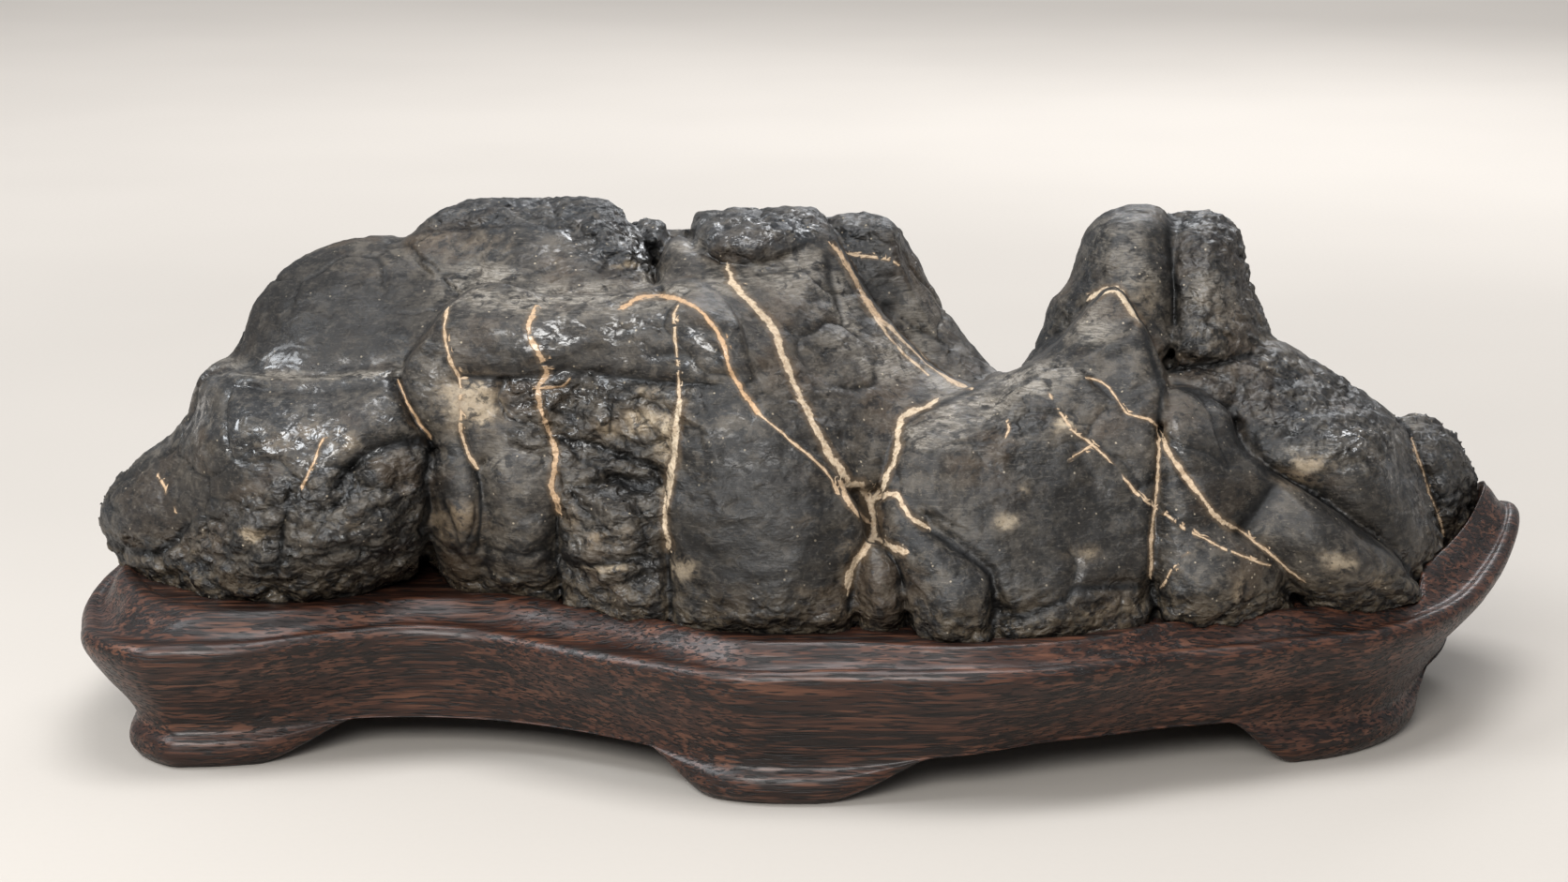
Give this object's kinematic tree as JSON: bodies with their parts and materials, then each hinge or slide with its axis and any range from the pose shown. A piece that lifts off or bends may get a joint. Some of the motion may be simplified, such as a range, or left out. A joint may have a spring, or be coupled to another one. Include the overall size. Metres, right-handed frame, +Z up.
{
  "type": "scholar's rock on a carved stand",
  "caption": "Dark water-worn scholar's rock with peaks, folds and pale veins, resting in a low carved hardwood stand with bulging feet.",
  "frame": {"origin": "middle of the bounding box, on the plane the feet stand on", "axes": "+X along the length, -Y towards the front, +Z up"},
  "size_m": [0.3452, 0.1518, 0.119],
  "materials": {
    "stone": "oiled, satin with matt pits",
    "dark_wood": "dark stained, satin lacquer"
  },
  "bodies": {
    "root": {"scholars_rock": "stone", "carved_stand": "dark_wood"}
  },
  "joints": []
}
